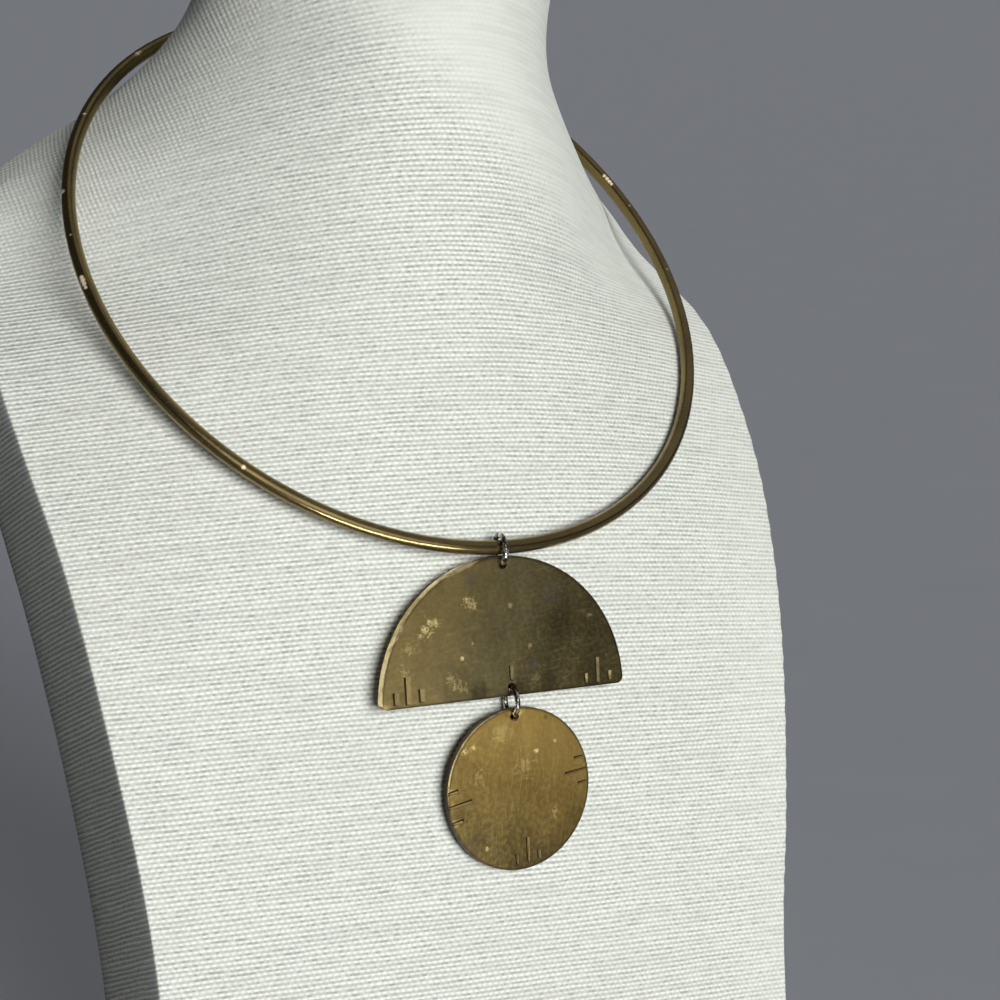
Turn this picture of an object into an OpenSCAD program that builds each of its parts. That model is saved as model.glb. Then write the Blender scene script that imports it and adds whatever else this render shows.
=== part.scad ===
/* [Bust] */
// Height from the flat foot to the top of the neck
bust_h = 236; // [228:1:250]
// Greatest width, at the shoulders
bust_w = 156.4; // [150:0.2:164]
// Rounding of the neck's top edge
neck_round = 5; // [2:0.5:8]
// Rounding of the foot's edge
foot_round = 1.5; // [0.5:0.5:3]

/* [Collar] */
// Diameter of the collar, through the middle of its wire
collar_d = 127; // [126.6:0.1:127.4]
// Thickness of the collar's wire
collar_wire_d = 2.6; // [2.2:0.1:2.8]
// Slope of the collar's plane, back edge high
collar_slope = 45.75; // [45:0.25:46.5]
// Sideways dip of the collar's plane, right side low
collar_dip = 2.9; // [2:0.1:3.5]
// Length of the barrel that joins the wire's ends behind the neck
barrel_len = 15; // [10:1:20]
// Outer diameter of the barrel
barrel_d = 4.4; // [4:0.1:4.6]

/* [Plates] */
// Width of the half disc along its straight edge
half_disc_w = 50.8; // [50:0.2:51.6]
// Diameter of the round disc
disc_d = 29.8; // [29:0.1:31]
// Thickness of both plates
plate_t = 1.4; // [1:0.1:1.5]
// Rounding of the half disc's two corners
corner_r = 1.3; // [0.8:0.1:2]
// Gap between the half disc's straight edge and the round disc
plate_gap = 2.15; // [2:0.05:2.3]
// Diameter of the holes for the jump rings
hole_d = 1.8; // [1.75:0.05:1.85]
// Lean of the pendant from upright, as it lies along the chest
pendant_lean = 7; // [6.5:0.1:7.5]

/* [Jump rings] */
// Outer diameter of a jump ring
ring_d = 6.2; // [6.15:0.05:6.3]
// Thickness of a jump ring's wire
ring_wire_d = 1; // [0.9:0.05:1]
// Width of the cut where a ring's ends meet
ring_cut = 0.15; // [0.1:0.05:0.3]

/* [Stamped strokes] */
// Width of a stroke in the half disc at its wide inner end
stroke_w = 1; // [0.8:0.05:1.3]
// Width of a stroke in the round disc at its wide inner end
disc_stroke_w = 0.7; // [0.5:0.05:1]
// Depth of a stroke in the half disc at its wide inner end
stroke_depth = 0.34; // [0.2:0.02:0.5]

/* [Hidden] */
$fn = 96;

// The bust is lofted through level outlines. Columns of its table, all in mm but the last:
LEVEL = 0;    // height above the foot
HALF_W = 1;   // half width, at the edge between the chest and the flat side panel
FRONT = 2;    // how far back the middle of the chest lies
EDGE = 3;     // how far back the front edge of the side panel lies
PANEL = 4;    // depth of the side panel
BACK = 5;     // how far back the middle of the back lies
CROWN = 6;    // roundness across: 1 is an ellipse, 2 a shallow arc, more is a bell
bust_rows = [
    [  0,   66,    -8,    -4,  24,   64,   2.0],
    [ 35,   66.5,  -4.6,   1.3, 26,  66,   2.0],
    [ 60,   68.7,  -0.9,   5.2, 27.5, 70,  2.0],
    [ 90,   72.5,   4.0,  13.6, 27.5, 76,  2.0],
    [115,   75.5,   7.1,  24.6, 28,  82,   2.0],
    [135,   77.8,  12.2,  38.8,  26,   87,   2.3],
    [150,   77.7,  16.0,  53.1,  21,   91,   2.3],
    [162,   73.3,  18.0,  71,    13,   94,   2.4],
    [172,   69.8,  19.6,  80.6,   8,   96,   2.0],
    [181,   58.0,  20.4,  80.5,  11.5, 97,   1.4],
    [190,   46.4,  20.6,  78.5,   3,   94,   1.0],
    [199,   39.0,  20.3,  69,     2,   91,   1.05],
    [208,   35.1,  19.8,  58,     2,   89,   1.15],
    [218,   34.0,  18.6,  50,     2,   88,   1.2],
    [236,   35.0,  15.0,  50,     2,   85,   1.0]
];
last_row = len(bust_rows) - 1;
widest = 78.2;       // the half width that the rows reach between two of their levels
level_step = 4;      // spacing of the lofted outlines
front_steps = 30;    // pieces of each outline's front and back
back_steps = 18;

// Slope of column c at row k, and the smooth value of the column at height z
function slope(c, k) =
    let (a = bust_rows[max(k - 1, 0)], b = bust_rows[min(k + 1, last_row)])
    (b[c] - a[c]) / (b[LEVEL] - a[LEVEL]);
function row_below(z, k = 0) =
    (k >= last_row - 1 || bust_rows[k + 1][LEVEL] > z) ? k : row_below(z, k + 1);
function column(c, z) =
    let (
        k = row_below(z),
        a = bust_rows[k],
        b = bust_rows[k + 1],
        h = b[LEVEL] - a[LEVEL],
        s = min((z - a[LEVEL]) / h, 1),
        s2 = s * s,
        s3 = s2 * s
    )
    (2 * s3 - 3 * s2 + 1) * a[c] + (s3 - 2 * s2 + s) * h * slope(c, k)
    + (3 * s2 - 2 * s3) * b[c] + (s3 - s2) * h * slope(c, k + 1);

// One level outline of the bust, drawn in by the given amount
function outline(z, inset) =
    let (
        level = z * bust_rows[last_row][LEVEL] / bust_h,
        w = column(HALF_W, level) * bust_w / (2 * widest) - inset,
        front = column(FRONT, level) + inset,
        edge = column(EDGE, level),
        panel = column(PANEL, level),
        back = column(BACK, level) - inset,
        crown = column(CROWN, level)
    )
    concat(
        [for (i = [0:front_steps])
            let (a = -90 + 180 * i / front_steps)
            [w * sin(a), edge - (edge - front) * pow(max(cos(a), 0), crown), z]],
        [for (i = [0:back_steps])
            let (a = 90 - 180 * i / back_steps)
            [w * sin(a), edge + panel + (back - edge - panel) * pow(max(cos(a), 0), crown), z]]
    );

// Heights and insets of the outlines: rounded foot, plain body, rounded neck top
body_levels = [for (z = [level_step:level_step:bust_h - neck_round - level_step / 2]) [z, 0]];
foot_levels = [for (a = [0:30:90]) [foot_round * (1 - cos(a)), foot_round * (1 - sin(a))]];
neck_levels = [for (a = [0:22.5:90]) [bust_h - neck_round * (1 - sin(a)), neck_round * (1 - cos(a))]];
levels = concat(foot_levels, body_levels, neck_levels);

// All points of the bust, and the middle of its depth
bust_points = [for (l = levels) each outline(l[0], l[1])];
depths = [for (p = bust_points) p[1]];
y_mid = (min(depths) + max(depths)) / 2;

// The pendant hangs from its own frame: x across, z up along the chest, y = 0 on the plates' faces
pendant_z = 90;                        // height of the half disc's straight edge
half_r = half_disc_w / 2;
disc_r = disc_d / 2;
hole_r = hole_d / 2;
rim = 0.55;                            // metal left between a hole and the edge beside it
upper_hole = [0.5, half_r - rim - hole_r];
lower_hole = [1.5, rim + hole_r];
disc_hang = 3.2;                       // turn of the disc in its plane
disc_dip = 2.4;                        // the disc's top leans forward
disc_hole_r = disc_r - rim - hole_r;   // from the disc's middle to its hole
disc_mid = [lower_hole[0] + disc_hole_r * sin(disc_hang),
            plate_t / 2,
            -plate_gap - disc_r];
half_corner_x = sqrt(pow(half_r - corner_r, 2) - pow(corner_r, 2));

// Collar: the middle of its wire, straight over the half disc's top
collar_r = collar_d / 2;
collar_front = [1.3, 0.2, half_r + 1.6];
wire_gap = 1;                          // between the wire's two ends
wire_gap_deg = 360 * wire_gap / (PI * collar_d);
barrel_deg = 360 * barrel_len / (PI * collar_d);
barrel_clear = 0.12;                   // between the wire and the barrel's bore

// Jump rings: middle radius, turns about the upright, places of their middles. The upper ring
// is centred between the wire's top and the metal under it, the lower one between the plates.
ring_r = (ring_d - ring_wire_d) / 2;
upper_ring_turn = -8.5;
lower_ring_turn = -5.5;
wire_top = collar_front[2] + collar_wire_d / 2;
upper_ring_mid = [upper_hole[0], 0.6, (wire_top + half_r - rim) / 2];
lower_ring_mid = [lower_hole[0], 0.43, -plate_gap / 2];

// Moves a child from the shared frame of the table to the part's own origin
module settle() translate([0, -y_mid, 0]) children();

module on_chest() settle() translate([0, 0, pendant_z]) rotate([-pendant_lean, 0, 0]) children();

// Puts a child's flat circle in the collar's plane, its +Y side at the back of the neck
module on_collar()
    on_chest() translate(collar_front) rotate([pendant_lean, 0, 0])
        translate([0, collar_r * cos(collar_slope), collar_r * sin(collar_slope)])
            rotate([0, collar_dip, 0]) rotate([collar_slope, 0, 0]) children();

module arc_bar(middle_r, from_deg, sweep_deg)
    rotate([0, 0, from_deg]) rotate_extrude(angle = sweep_deg) translate([middle_r, 0]) children();

module bust()
    color("#e4e4de") settle() {
        points_per = front_steps + back_steps + 2;
        rings = len(levels);
        sides = [for (r = [0:rings - 2], i = [0:points_per - 1])
            let (j = (i + 1) % points_per, a = r * points_per, b = (r + 1) * points_per)
            [b + i, b + j, a + j, a + i]];
        foot = [for (i = [0:points_per - 1]) i];
        top = [for (i = [points_per - 1:-1:0]) (rings - 1) * points_per + i];
        polyhedron(bust_points, concat(sides, [foot], [top]), convexity = 6);
    }

module collar_wire()
    color("#6b5426") on_collar()
        arc_bar(collar_r, 90 + wire_gap_deg / 2, 360 - wire_gap_deg) circle(d = collar_wire_d);

module clasp_barrel()
    color("#6b5426") on_collar()
        arc_bar(collar_r, 90 - barrel_deg / 2, barrel_deg)
            difference() {
                circle(d = barrel_d);
                circle(d = collar_wire_d + 2 * barrel_clear);
            }

module jump_ring(middle, turn) {
    cut_deg = 360 * ring_cut / (2 * PI * ring_r);
    color("#8a857a") on_chest() translate(middle) rotate([0, 90, turn])
        arc_bar(ring_r, 100 + cut_deg / 2, 360 - cut_deg) circle(d = ring_wire_d);
}

// A plate drawn flat in x and y, stood up with its face at y = 0 and its back behind
module upright_plate() translate([0, plate_t, 0]) rotate([90, 0, 0]) linear_extrude(plate_t) children();

// A chisel stroke in the face: a sharp groove that widens and deepens from one point to another,
// each given as [x, z]. The chisel's wedge stands out of the face by as much again.
// A narrower stroke is as much shallower.
module stroke(from, to, wide) {
    deep = stroke_depth * wide / stroke_w;
    run = norm(to - from);
    lean = atan2(to[0] - from[0], to[1] - from[1]);
    sink = atan2(deep * (1 - stroke_start), run);
    translate([from[0], deep * stroke_start, from[1]]) rotate([0, lean, 0]) rotate([-sink, 0, 0])
        linear_extrude(run) polygon([[0, 0], [wide, -2 * deep], [-wide, -2 * deep]]);
}

// The half disc's outline: a half circle whose two sharp corners are cut off and rounded
module half_outline() {
    turn = atan2(corner_r, half_corner_x);
    difference() {
        intersection() {
            circle(half_r);
            translate([-half_r, 0]) square([half_disc_w, half_r]);
        }
        for (side = [0, 1])
            mirror([side, 0]) polygon([
                [half_corner_x, corner_r],
                [half_corner_x, -half_r],
                [2 * half_r, -half_r],
                [half_corner_x + half_r * cos(turn), corner_r + half_r * sin(turn)]
            ]);
    }
    for (side = [-1, 1])
        translate([side * half_corner_x, corner_r]) circle(corner_r);
}

stroke_start = 0.8;    // a stroke's depth at its outer end, as a share of that at its inner end

// Strokes of the half disc, standing on its straight edge. Columns: x, foot, length, share of the width
half_strokes = [
    [-22.4, 0.6, 2.3, 1.5], [-20.0, 0.5, 5.0, 1.5], [-17.2, 0.7, 2.4, 1.5],
    [  1.5, 2.8, 2.7, 1],
    [ 17.4, 0.7, 1.8, 0.9], [ 19.9, 0.6, 4.6, 1], [ 22.5, 0.8, 1.7, 0.9]
];

module half_disc()
    color("#6f5f35") on_chest() difference() {
        upright_plate() difference() {
            half_outline();
            for (at = [upper_hole, lower_hole]) translate(at) circle(d = hole_d);
        }
        for (s = half_strokes) stroke([s[0], s[1]], [s[0], s[1] + s[2]], stroke_w * s[3]);
    }

// Strokes of the disc, running in from its rim in three groups.
// Columns: direction of the group, sideways step from it, where it starts, length, share of the width
disc_strokes = [
    [190,  2.3, 14.9, 2.5, 1.25], [190, -0.7, 15.2, 5.2, 1.25], [190, -3.3, 14.7, 2.3, 1.25],
    [  8,  2.6, 14.2, 2.0, 0.9], [  8, 0.2, 14.5, 4.7, 0.9], [  8, -2.2, 14.2, 2.0, 0.9],
    [272, -1.2, 13.8, 1.8, 1], [272, 1.2, 13.7, 4.5, 1], [272, 3.5, 13.4, 1.6, 1]
];

module round_disc()
    color("#93783a") on_chest() translate(disc_mid) rotate([disc_dip, 0, 0])
        translate([0, -plate_t / 2, 0]) difference() {
            upright_plate() difference() {
                circle(disc_r);
                rotate(disc_hang) translate([0, disc_hole_r]) circle(d = hole_d);
            }
            for (s = disc_strokes) {
                out = [cos(s[0]), sin(s[0])];
                side = [-sin(s[0]), cos(s[0])];
                inner = s[2] - s[3];
                stroke(out * s[2] + side * s[1], out * inner + side * s[1], disc_stroke_w * s[4]);
            }
        }

bust();
collar_wire();
clasp_barrel();
jump_ring(upper_ring_mid, upper_ring_turn);  // upper_ring
half_disc();
jump_ring(lower_ring_mid, lower_ring_turn);  // lower_ring
round_disc();
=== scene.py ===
"""A rigid wire collar with a half disc and a round disc, worn by a linen-covered neck bust."""

import math

import bpy
from mathutils import Matrix, Vector, noise


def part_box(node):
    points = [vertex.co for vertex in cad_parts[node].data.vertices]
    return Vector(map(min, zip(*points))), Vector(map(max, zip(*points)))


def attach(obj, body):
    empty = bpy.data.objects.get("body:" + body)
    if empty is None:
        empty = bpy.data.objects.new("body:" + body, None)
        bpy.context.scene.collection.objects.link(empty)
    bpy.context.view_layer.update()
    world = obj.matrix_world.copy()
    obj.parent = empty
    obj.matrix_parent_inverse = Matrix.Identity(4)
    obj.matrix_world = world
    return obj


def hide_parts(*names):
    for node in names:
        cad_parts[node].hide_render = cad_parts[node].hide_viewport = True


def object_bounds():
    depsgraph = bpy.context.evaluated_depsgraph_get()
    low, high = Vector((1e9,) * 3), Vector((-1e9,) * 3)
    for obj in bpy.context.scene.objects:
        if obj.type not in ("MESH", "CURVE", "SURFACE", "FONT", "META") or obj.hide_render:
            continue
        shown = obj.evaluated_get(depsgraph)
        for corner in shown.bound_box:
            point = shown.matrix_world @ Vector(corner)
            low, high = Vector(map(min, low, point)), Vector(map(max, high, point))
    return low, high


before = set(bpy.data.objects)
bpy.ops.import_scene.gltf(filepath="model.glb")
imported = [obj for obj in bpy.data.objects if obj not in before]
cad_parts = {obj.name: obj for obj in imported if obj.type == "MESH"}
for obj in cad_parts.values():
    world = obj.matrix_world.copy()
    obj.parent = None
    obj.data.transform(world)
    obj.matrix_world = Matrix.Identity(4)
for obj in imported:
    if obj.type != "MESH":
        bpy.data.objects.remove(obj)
cad_low, cad_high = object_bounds()

BODY = "root"
MM = 0.001

# The camera stands before the chest, to the left as one looks at it, and looks down a little.
# Its place is in metres, its angles in degrees, its lens and sensor in millimetres
CAMERA_PLACE = Vector((-0.2758, -0.4924, 0.2196))
CAMERA_TURN = 31.43
CAMERA_DIP = 10.10
CAMERA_ROLL = 1.44
CAMERA_LENS = 108
CAMERA_SENSOR = 36

# The plates lean back against the chest by this many degrees, and are cut from sheet this thick.
# The gap between them is in millimetres, and the lower one dips by some degrees
PLATE_LEAN = 7
PLATE_THICKNESS = 1.4 * MM
PLATE_EDGE_ROUND = 0.22 * MM
PLATE_GAP = 2.15
DISC_DIP = 2.4

# The round rod of the collar, the radius of the ring it makes in millimetres, and that ring's
# tilt in degrees
ROD_THICKNESS = 2.6 * MM
COLLAR_RADIUS = 63.5
COLLAR_SLOPE = 45.75
COLLAR_DIP = 2.9

# Rows of the linen: how many lie in each millimetre along X, Y and Z, and the millimetres along a
# row that two of its threads take
ROWS_PER_MM = Vector((0.041, 0.440, 1.077))
THREAD_PAIR = 1.22

# Warp cords that stand out round the neck's left side: how many lie in each millimetre
CORDS_PER_MM = Vector((0.880, -0.437, 0.492))

# Corners nearer than this are made one before a skin is smoothed
MERGE_DISTANCE = 0.002 * MM


def direction(turn, rise):
    """The way to a place at a turn from the front towards the right and a rise, both in degrees."""
    around, up = math.radians(turn), math.radians(rise)
    return Vector((math.sin(around) * math.cos(up), -math.cos(around) * math.cos(up), math.sin(up)))


def alone(piece):
    """Makes one piece the only selected and the active one."""
    bpy.ops.object.select_all(action="DESELECT")
    piece.select_set(True)
    bpy.context.view_layer.objects.active = piece


def copy_of(node, name):
    """A new piece with a CAD node's mesh, its loose triangles merged into one skin."""
    piece = bpy.data.objects.new(name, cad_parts[node].data.copy())
    bpy.context.scene.collection.objects.link(piece)
    piece.data.materials.clear()
    alone(piece)
    bpy.ops.mesh.customdata_custom_splitnormals_clear()
    bpy.ops.object.mode_set(mode="EDIT")
    bpy.ops.mesh.select_all(action="SELECT")
    bpy.ops.mesh.remove_doubles(threshold=MERGE_DISTANCE)
    bpy.ops.mesh.tris_convert_to_quads()
    bpy.ops.object.mode_set(mode="OBJECT")
    return piece


def finish_with(piece, kind, **settings):
    """Adds one modifier with these settings and applies it."""
    alone(piece)
    modifier = piece.modifiers.new(kind.lower(), kind)
    for name, value in settings.items():
        setattr(modifier, name, value)
    bpy.ops.object.modifier_apply(modifier=modifier.name)


def put_on(piece, material, node):
    """Gives a finished piece its material and its body, and hides the CAD node that it stands for."""
    piece.data.materials.clear()
    piece.data.materials.append(material)
    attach(piece, BODY)
    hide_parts(node)


# Shader building

def feed(tree, socket, value):
    """Gives an input another node's output, or a value of its own."""
    if isinstance(value, bpy.types.NodeSocket):
        tree.links.new(value, socket)
    else:
        socket.default_value = value


def add(tree, kind, sockets=None, **settings):
    """One shader node. sockets maps an input's name or number to a value or to another node's output."""
    node = tree.nodes.new(kind)
    for name, value in settings.items():
        setattr(node, name, value)
    for socket, value in (sockets or {}).items():
        feed(tree, node.inputs[socket], value)
    return node


def sums(tree, operation, *values):
    """The result of one Math node."""
    return add(tree, "ShaderNodeMath", dict(enumerate(values)), operation=operation).outputs[0]


def times(tree, first, *others):
    """Values multiplied together."""
    for other in others:
        first = sums(tree, "MULTIPLY", first, other)
    return first


def plus(tree, value, factor, base):
    """A value times a factor, on top of a base."""
    return sums(tree, "MULTIPLY_ADD", value, factor, base)


def ripple(tree, angle):
    """A sine wave between 0 and 1."""
    return plus(tree, sums(tree, "SINE", angle), 0.5, 0.5)


def reach_along(tree, place, way):
    """How far a place lies along a direction."""
    node = add(tree, "ShaderNodeVectorMath", {0: place, 1: way}, operation="DOT_PRODUCT")
    return node.outputs["Value"]


def moved(tree, place, location=(0, 0, 0), rotation=(0, 0, 0), scale=(1, 1, 1)):
    """Coordinates turned, stretched and shifted by a Mapping node."""
    sockets = {"Vector": place, "Location": location, "Rotation": rotation, "Scale": scale}
    return add(tree, "ShaderNodeMapping", sockets).outputs[0]


def spread(tree, value, low, high, to_low=0.0, to_high=1.0):
    """A value brought smoothly from one span to another."""
    sockets = {"Value": value, "From Min": low, "From Max": high, "To Min": to_low, "To Max": to_high}
    return add(tree, "ShaderNodeMapRange", sockets, interpolation_type="SMOOTHSTEP").outputs[0]


def cloud(tree, place, scale, detail=4.0, roughness=0.55):
    """The values of one Noise Texture."""
    sockets = {"Vector": place, "Scale": scale, "Detail": detail, "Roughness": roughness}
    return add(tree, "ShaderNodeTexNoise", sockets).outputs[0]


def blended(tree, share, under, over):
    """One colour laid over another by a mask."""
    node = add(tree, "ShaderNodeMix", {0: share}, data_type="RGBA")
    for socket, tone in ((6, under), (7, over)):
        feed(tree, node.inputs[socket], tone if isinstance(tone, bpy.types.NodeSocket) else (*tone, 1))
    return node.outputs[2]


def tinted(tree, tone, mask, share, colour):
    """A tone with a share of another colour laid over it, where a mask is."""
    return blended(tree, times(tree, mask, share), tone, colour)


def effect(name, inputs, outputs):
    """An empty node group with named sockets, and the sockets to build it between."""
    tree = bpy.data.node_groups.new(name, "ShaderNodeTree")
    for label, kind in inputs:
        tree.interface.new_socket(label, in_out="INPUT", socket_type="NodeSocket" + kind)
    for label, kind in outputs:
        tree.interface.new_socket(label, in_out="OUTPUT", socket_type="NodeSocket" + kind)
    return tree, add(tree, "NodeGroupInput").outputs, add(tree, "NodeGroupOutput").inputs


def use(tree, group, **sockets):
    """Places one effect in a material. A socket named Grain_Size here is the group's Grain Size."""
    node = add(tree, "ShaderNodeGroup", node_tree=group)
    for name, value in sockets.items():
        feed(tree, node.inputs[name.replace("_", " ")], value)
    return node.outputs


# The effects: how the place of scratches is stretched, how fine the grain of a rubbed spot is, the
# middle of the noise that makes spots and rims ragged, and the spans over which each mask comes in
SCRATCH_SWAY = 0.12
SCRATCH_STRETCH = (0.06, 1.0, 1.0)
SCRATCH_SPAN = (0.54, 0.72)
SPOT_FINENESS = 4.4
SPOT_NOISE = 0.40
SPOT_SPAN = (1.0, 0.35)
RIM_CHIP_FINENESS = 0.9
RIM_NOISE = 0.5
RIM_SPAN = (1.1, 0.6)


def make_blotches():
    """Cloudy patches, as of tarnish, grime or uneven dye. Cover is the share that they take up."""
    sockets = [("Place", "Vector"), ("Grain Size", "Float"), ("Cover", "Float"), ("Softness", "Float")]
    tree, given, made = effect("blotches", sockets, [("Mask", "Float")])
    fineness = sums(tree, "DIVIDE", 1.0, given["Grain Size"])
    patches = cloud(tree, given["Place"], fineness, detail=6.0, roughness=0.62)
    edge = sums(tree, "SUBTRACT", 1.0, given["Cover"])
    low = sums(tree, "SUBTRACT", edge, given["Softness"])
    high = sums(tree, "ADD", edge, given["Softness"])
    feed(tree, made["Mask"], spread(tree, patches, low, high))
    return tree


def make_scratches():
    """Fine straight scratches that run along the first axis of the place they are given."""
    sockets = [("Place", "Vector"), ("Spacing", "Float")]
    tree, given, made = effect("fine scratches", sockets, [("Mask", "Float"), ("Height", "Float")])
    sway = add(tree, "ShaderNodeTexNoise", {"Vector": given["Place"], "Scale": SCRATCH_SWAY, "Detail": 1.0})
    bent = add(tree, "ShaderNodeVectorMath", {0: given["Place"], 1: sway.outputs[1]}, operation="ADD")
    drawn = moved(tree, bent.outputs[0], scale=SCRATCH_STRETCH)
    fineness = sums(tree, "DIVIDE", 1.0, given["Spacing"])
    lines = cloud(tree, drawn, fineness, detail=3.0, roughness=0.7)
    feed(tree, made["Mask"], spread(tree, lines, *SCRATCH_SPAN))
    feed(tree, made["Height"], lines)
    return tree


def make_rubbed_spot():
    """One ragged place round a middle, broken into specks: the plates' worn spots, stains and dark patches,
    and the rod's worn knocks with their painted highlights.
    """
    sockets = [("Place", "Vector"), ("Middle", "Vector"), ("Radius", "Float"), ("Speckle", "Float")]
    tree, given, made = effect("rubbed spot", sockets, [("Mask", "Float")])
    away = add(tree, "ShaderNodeVectorMath", {0: given["Place"], 1: given["Middle"]}, operation="DISTANCE")
    share = sums(tree, "DIVIDE", away.outputs["Value"], given["Radius"])
    fineness = sums(tree, "DIVIDE", SPOT_FINENESS, sums(tree, "ADD", given["Radius"], 1.0))
    grain = cloud(tree, given["Place"], fineness, detail=3.0, roughness=0.65)
    ragged = plus(tree, sums(tree, "SUBTRACT", grain, SPOT_NOISE), given["Speckle"], share)
    feed(tree, made["Mask"], spread(tree, ragged, *SPOT_SPAN))
    return tree


def make_rim_wear():
    """Wear and painted highlight that eat in from a rim, by the distance from it."""
    sockets = [("Distance", "Float"), ("Place", "Vector"), ("Width", "Float"), ("Raggedness", "Float")]
    tree, given, made = effect("rim wear", sockets, [("Mask", "Float")])
    grain = cloud(tree, given["Place"], RIM_CHIP_FINENESS, detail=4.0, roughness=0.65)
    chips = sums(tree, "SUBTRACT", grain, RIM_NOISE)
    share = sums(tree, "DIVIDE", given["Distance"], given["Width"])
    ragged = plus(tree, chips, given["Raggedness"], share)
    feed(tree, made["Mask"], spread(tree, ragged, *RIM_SPAN))
    return tree


BLOTCHES = make_blotches()
SCRATCHES = make_scratches()
RUBBED_SPOT = make_rubbed_spot()
RIM_WEAR = make_rim_wear()


def blotches(tree, place, grain, cover, softness):
    """The mask of cloudy patches with a grain in millimetres."""
    return use(tree, BLOTCHES, Place=place, Grain_Size=grain, Cover=cover, Softness=softness)["Mask"]


def new_material(name):
    """A material with its tree, its Principled shader and its place in millimetres."""
    material = bpy.data.materials.new(name)
    material.use_nodes = True
    tree = material.node_tree
    shader = tree.nodes["Principled BSDF"]
    metres = add(tree, "ShaderNodeTexCoord").outputs["Object"]
    return material, tree, shader, moved(tree, metres, scale=[1 / MM] * 3)


def bumped(tree, shader, height, depth):
    """Feeds a height to the shader's normal. A height of 1 stands depth metres above a height of 0."""
    bump = add(tree, "ShaderNodeBump", {"Height": height, "Strength": 1.0, "Distance": depth})
    feed(tree, shader.inputs["Normal"], bump.outputs["Normal"])


# The linen of the bust: its thread, its painted light, its painted shade that is also the grey of some
# threads, its painted shade in holes, and its stains
LINEN_LIGHT = (0.82, 0.85, 0.775)
LINEN_PAINTED_LIGHT = (0.96, 0.98, 0.91)
LINEN_SHADE_AND_GREY_THREAD = (0.47, 0.485, 0.44)
LINEN_HOLE_SHADE = (0.20, 0.21, 0.20)
LINEN_STAIN = (0.72, 0.69, 0.60)

# Where the linen is pulled and where it lies flat, by millimetres of height and millimetres along
# a row from the front's middle. Each pair is where the mask is 0 and where it is 1. A slant is how
# much of the one counts with the other
PULLED_SLANT = -1.7
PULLED_FRONT = (242, 302)
PULLED_BACK = (-112, -88)
PULLED_FOOT = (150, 180)
FLAT_SLANT = 1.2
FLAT_FRONT = (222, 248)
FLAT_FOOT = (138, 168)
FLAT_CHEST = (40, 80)
FLAT_CHEST_SHARE = 0.45
FLAT_BACK = (112, 88)

# What flat and pulled linen lose of their rows, and the relief of rows, crossings and cords
FLAT_ROWS_LOST = 0.90
PULLED_ROWS_LOST = 0.72
ROW_RELIEF = 0.65
CROSSING_RELIEF = 0.30
CORD_RELIEF = 0.36
FIBRE_RELIEF = 0.25
RIB_RELIEF = 0.16 * MM

# How far rows stray, in rows, and warp threads and cords, in radians of their waves. STRAND_SHIFT
# is how far apart in the noise two neighbouring strands are read
ROW_WANDER = 0.8
WARP_DRIFT = 9.0
SLUB_TURN = 5.0
CORD_BEND = 16.0
STRAND_SHIFT = 5.3

# Spans of the weave's masks: a value's low and high, and what they turn into if not 0 and 1
ROW_SHARPNESS = (0.30, 0.70, 1.5, 0.75)
GAP_SEEN = (0.90, 0.05)
GAP_DEPTH = (0.30, 0.60, 0.40, 0.90)
HOLE_SEEN = (0.45, 0.05)
HOLE_LOOSE = (0.52, 0.66)
CROWN_SEEN = (0.35, 0.95)
CROWN_FULLNESS = (0.30, 0.60, 0.35, 1.0)
THREAD_GREY = (0.42, 0.66, 0.0, 0.20)

# Stains: grain in millimetres, cover and softness. Then the share of each tone that is laid over: the
# stains', the painted shade of flat linen, the painted light of pulled linen, and the painted shade under
# warp threads, between cords and in holes
LINEN_STAINS = (45.0, 0.42, 0.16)
STAIN_SHADE = 0.12
FLAT_SHADE = 0.24
PULLED_LIGHT = 0.40
WARP_SHADE = 0.24
CORD_SHADE = 0.28
HOLE_SHADE = 0.50


def along_strand(tree, along, number, pace, detail=2.0):
    """Unevenness along one thread or gap of the weave, different from its neighbours'."""
    sockets = {0: times(tree, along, pace), 1: times(tree, number, STRAND_SHIFT)}
    place = add(tree, "ShaderNodeCombineXYZ", sockets).outputs[0]
    return cloud(tree, place, 1.0, detail, roughness=0.6)


def linen_stretch(tree, along, level):
    """Where the linen is pulled round the neck's left side, and where it lies flat on the right."""
    slanted = plus(tree, along, PULLED_SLANT, level)
    pulled = times(tree, spread(tree, slanted, *PULLED_FRONT), spread(tree, along, *PULLED_BACK),
                   spread(tree, level, *PULLED_FOOT))
    slanted = plus(tree, level, FLAT_SLANT, along)
    flat = times(tree, spread(tree, slanted, *FLAT_FRONT), spread(tree, level, *FLAT_FOOT))
    flat = sums(tree, "MAXIMUM", flat, spread(tree, along, *FLAT_CHEST, 0.0, FLAT_CHEST_SHARE))
    return pulled, times(tree, flat, spread(tree, along, *FLAT_BACK))


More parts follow.
